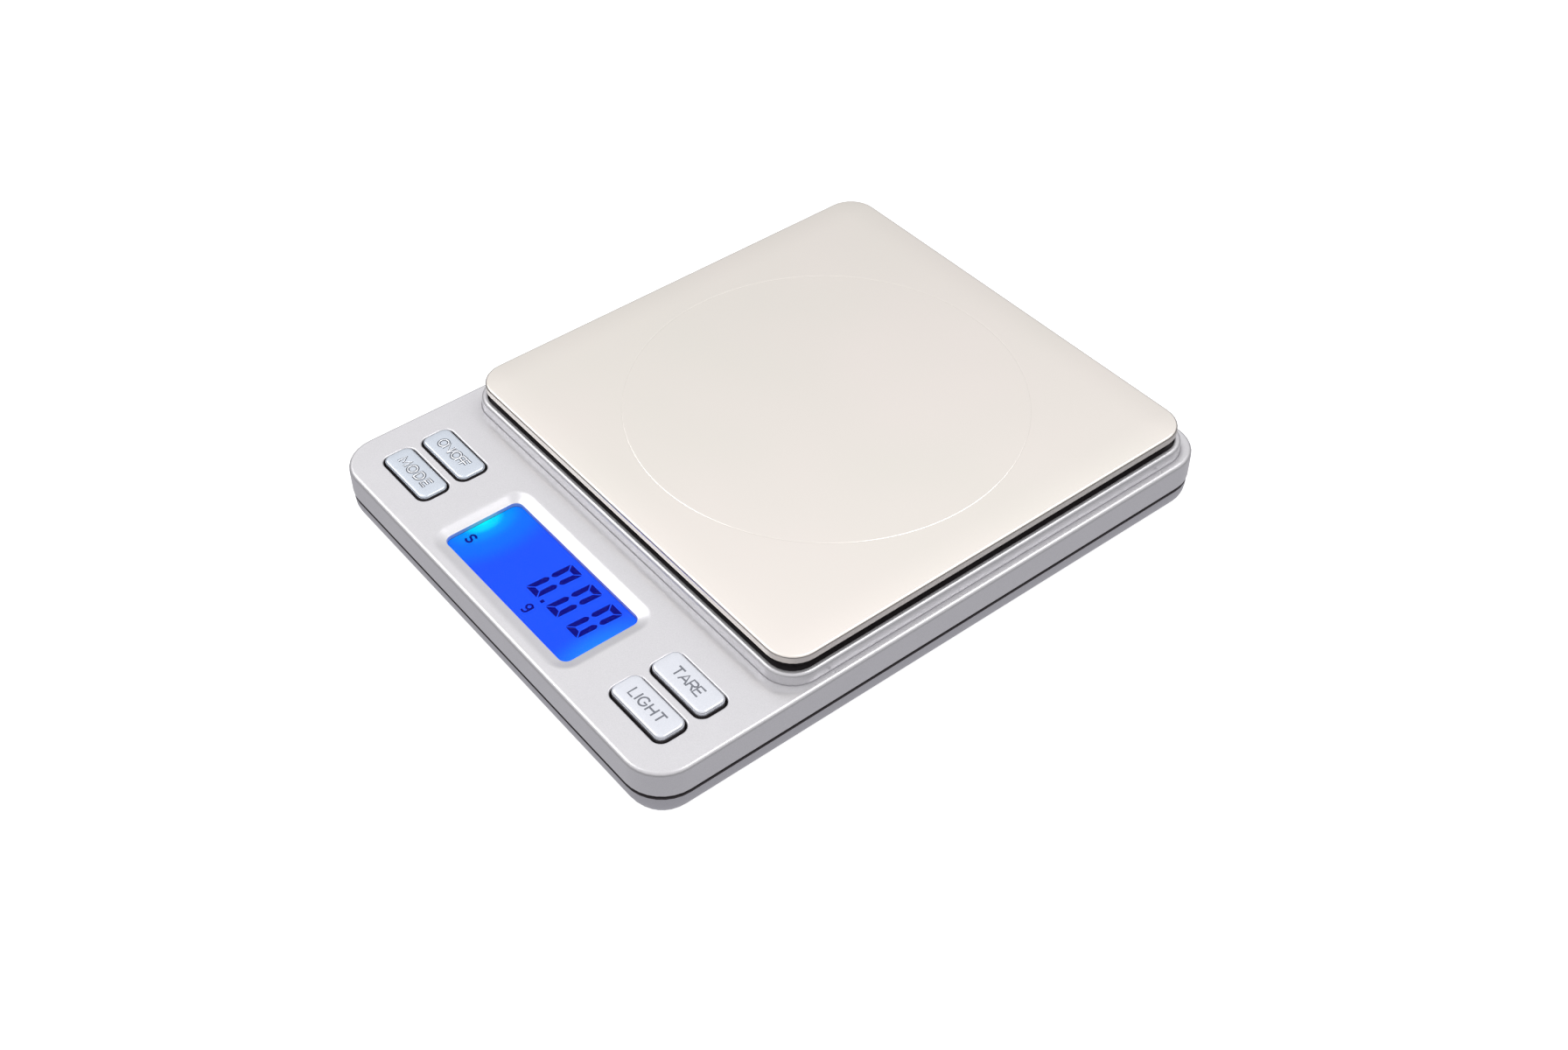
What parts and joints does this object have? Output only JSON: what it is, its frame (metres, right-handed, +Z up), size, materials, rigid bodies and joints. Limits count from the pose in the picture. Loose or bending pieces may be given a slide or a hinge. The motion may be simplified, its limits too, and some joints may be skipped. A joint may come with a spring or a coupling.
{
  "type": "digital gram scale",
  "caption": "Low rectangular bench-top digital scale with a square steel weighing platform, a blue backlit display and press keys, resting on rubber feet.",
  "frame": {"origin": "on the table, under the middle of the case", "axes": "+X to the user's right, +Y away from the user (from the display towards the platform), +Z up"},
  "size_m": [0.106, 0.1344, 0.019],
  "materials": {
    "silver_case": "satin silver paint on moulded ABS",
    "silver_key": "smooth silver paint on moulded ABS",
    "platform_steel": "satin stainless steel sheet",
    "carrier_black": "moulded black ABS",
    "foot_rubber": "matte",
    "screw_steel": "bright zinc plate",
    "cell_aluminium": "machined",
    "sealant_white": "smooth silicone",
    "pad_foam": "foam tape",
    "lens_clear": "clear acrylic window, gloss",
    "lcd_blue": "blue liquid crystal panel",
    "guide_white": "frosted acrylic",
    "led_white": "clear epoxy",
    "holder_white": "moulded white ABS",
    "zebra_rubber": "striped elastomer",
    "board_green": "solder mask on glass-epoxy board",
    "chip_black": "epoxy drop",
    "switch_black": "moulded",
    "switch_plunger": "moulded",
    "battery_jacket": "printed jacket",
    "contact_nickel": "nickel-plated spring steel",
    "wire_red": "PVC insulation",
    "wire_black": "PVC insulation",
    "wire_white": "PVC sleeve"
  },
  "bodies": {
    "case": {"backlight_guide": "guide_white", "backlight_led": "led_white", "battery_front": "battery_jacket", "battery_rear": "battery_jacket", "board_screw_front_left": "screw_steel", "board_screw_front_right": "screw_steel", "board_screw_rear_left": "screw_steel", "board_screw_rear_right": "screw_steel", "bridge_contact": "contact_nickel", "case_screw_front_left": "screw_steel", "case_screw_front_right": "screw_steel", "case_screw_rear_left": "screw_steel", "case_screw_rear_right": "screw_steel", "cell_base_screw_inner": "screw_steel", "cell_base_screw_outer": "screw_steel", "chip_cover": "chip_black", "display_lens": "lens_clear", "lcd_glass": "lcd_blue", "lcd_holder": "holder_white", "light_switch_body": "switch_black", "load_cell": "cell_aluminium", "load_cell_cable": "wire_white", "lower_housing": "silver_case", "main_circuit_board": "board_green", "mode_switch_body": "switch_black", "negative_contact": "contact_nickel", "negative_lead": "wire_black", "on_off_switch_body": "switch_black", "positive_contact": "contact_nickel", "positive_lead": "wire_red", "rubber_foot_front_left": "foot_rubber", "rubber_foot_front_right": "foot_rubber", "rubber_foot_rear_left": "foot_rubber", "rubber_foot_rear_right": "foot_rubber", "strain_gauge_sealant": "sealant_white", "tare_switch_body": "switch_black", "upper_housing": "silver_case", "zebra_connector": "zebra_rubber"},
    "platform": {"weighing_platform": "platform_steel", "platform_carrier": "carrier_black", "adhesive_pad_front_left": "pad_foam", "adhesive_pad_front_right": "pad_foam", "adhesive_pad_rear_left": "pad_foam", "adhesive_pad_rear_right": "pad_foam", "carrier_screw_inner": "screw_steel", "carrier_screw_outer": "screw_steel"},
    "mode_button": {"mode_key": "silver_key", "mode_switch_plunger": "switch_plunger"},
    "on_off_button": {"on_off_key": "silver_key", "on_off_switch_plunger": "switch_plunger"},
    "light_button": {"light_key": "silver_key", "light_switch_plunger": "switch_plunger"},
    "tare_button": {"tare_key": "silver_key", "tare_switch_plunger": "switch_plunger"},
    "battery_door": {"battery_door": "silver_case"}
  },
  "joints": [
    {"name": "platform_press", "type": "slide", "parent": "case", "child": "platform", "axis": [0, 0, -1], "range_m": [0, 0.0003], "stiffness_N_per_m": 16350, "springref_m": -0.00004, "deforming": ["load_cell"]},
    {"name": "mode_key_press", "type": "slide", "parent": "case", "child": "mode_button", "axis": [0, 0, -1], "range_m": [0, 0.0005], "stiffness_N_per_m": 3200},
    {"name": "on_off_key_press", "type": "slide", "parent": "case", "child": "on_off_button", "axis": [0, 0, -1], "range_m": [0, 0.0005], "stiffness_N_per_m": 3200},
    {"name": "light_key_press", "type": "slide", "parent": "case", "child": "light_button", "axis": [0, 0, -1], "range_m": [0, 0.0005], "stiffness_N_per_m": 3200},
    {"name": "tare_key_press", "type": "slide", "parent": "case", "child": "tare_button", "axis": [0, 0, -1], "range_m": [0, 0.0005], "stiffness_N_per_m": 3200},
    {"name": "battery_door_hinge", "type": "hinge", "parent": "case", "child": "battery_door", "pos_m": [0, 0.0599, 0.0016], "axis": [1, 0, 0], "range_deg": [0, 70]}
  ]
}
